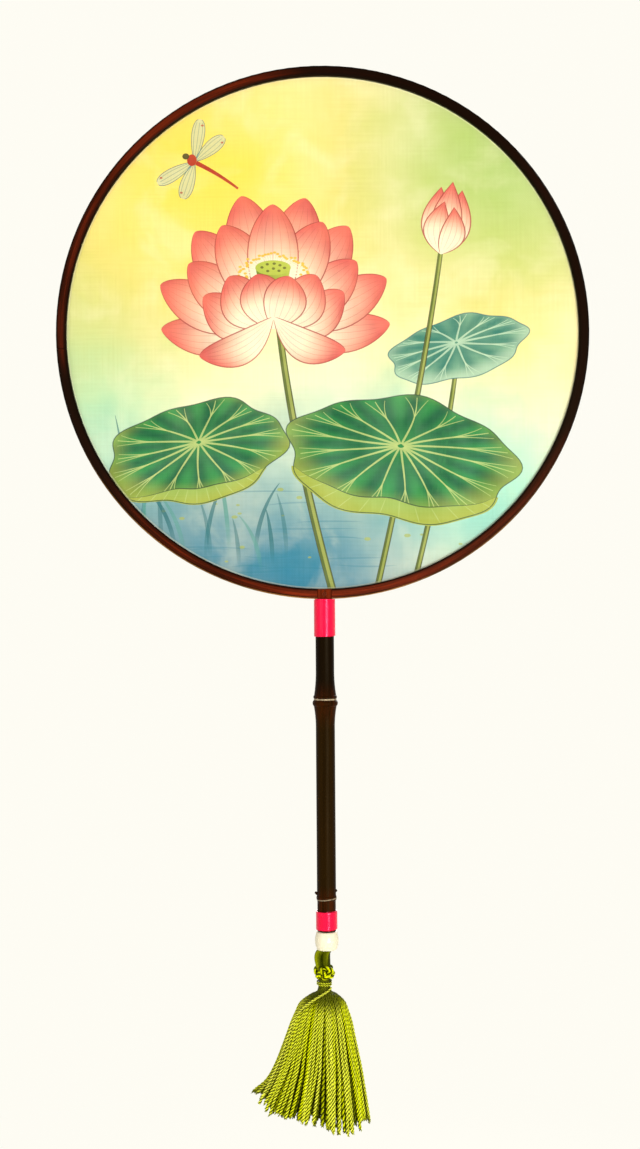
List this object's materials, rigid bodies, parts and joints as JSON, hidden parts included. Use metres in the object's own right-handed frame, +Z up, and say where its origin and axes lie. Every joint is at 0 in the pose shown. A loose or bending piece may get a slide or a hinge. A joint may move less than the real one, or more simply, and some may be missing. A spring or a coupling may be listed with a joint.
{
  "type": "round silk hand fan",
  "caption": "Round hand fan: stretched silk face clamped between bent hoops on a forked bamboo handle, with wound thread, a turning bead and a swinging tassel.",
  "frame": {"origin": "on the handle's axis, at the middle of the straight grip between the bamboo's nodes", "axes": "+Z up along the handle towards the round face, +Y out of the back of the face, so the painted front faces -Y and +X is to the right of someone who looks at the front"},
  "size_m": [0.26, 0.0258, 0.5206],
  "materials": {
    "hoop_wood": "satin lacquer",
    "painted_silk": "fine woven silk, painted",
    "plain_silk": "fine woven silk",
    "lining_paper": "matte",
    "black_bamboo": "satin bamboo",
    "peg_bamboo": "matte bamboo",
    "red_thread": "satin wound thread",
    "white_bead": "polished",
    "green_cord": "twisted cord"
  },
  "bodies": {
    "fan": {"front_hoop": "hoop_wood", "back_hoop": "hoop_wood", "front_silk": "painted_silk", "face_lining": "lining_paper", "back_silk": "plain_silk", "handle": "black_bamboo", "fork_peg": "peg_bamboo", "cord_peg": "peg_bamboo", "upper_binding": "red_thread", "lower_binding": "red_thread", "hanging_loop": "green_cord"},
    "bead": {"bead": "white_bead"},
    "tassel_head": {"neck_cord_left": "green_cord", "neck_cord_right": "green_cord", "tassel_knot": "green_cord"},
    "tassel": {"tassel_tie": "green_cord", "tassel_skirt": "green_cord"}
  },
  "joints": [
    {"name": "bead_turn", "type": "hinge", "parent": "fan", "child": "bead", "pos_m": [0, 0, -0.06575], "axis": [0, 0, 1], "continuous": true},
    {"name": "tassel_swing", "type": "hinge", "parent": "fan", "child": "tassel_head", "pos_m": [-0.0014, 0, -0.07235], "axis": [1, 0, 0], "range_deg": [-75, 75]},
    {"name": "skirt_sway", "type": "hinge", "parent": "tassel_head", "child": "tassel", "pos_m": [-0.0014, 0, -0.08125], "axis": [0, 1, 0], "range_deg": [-70, 70]}
  ]
}
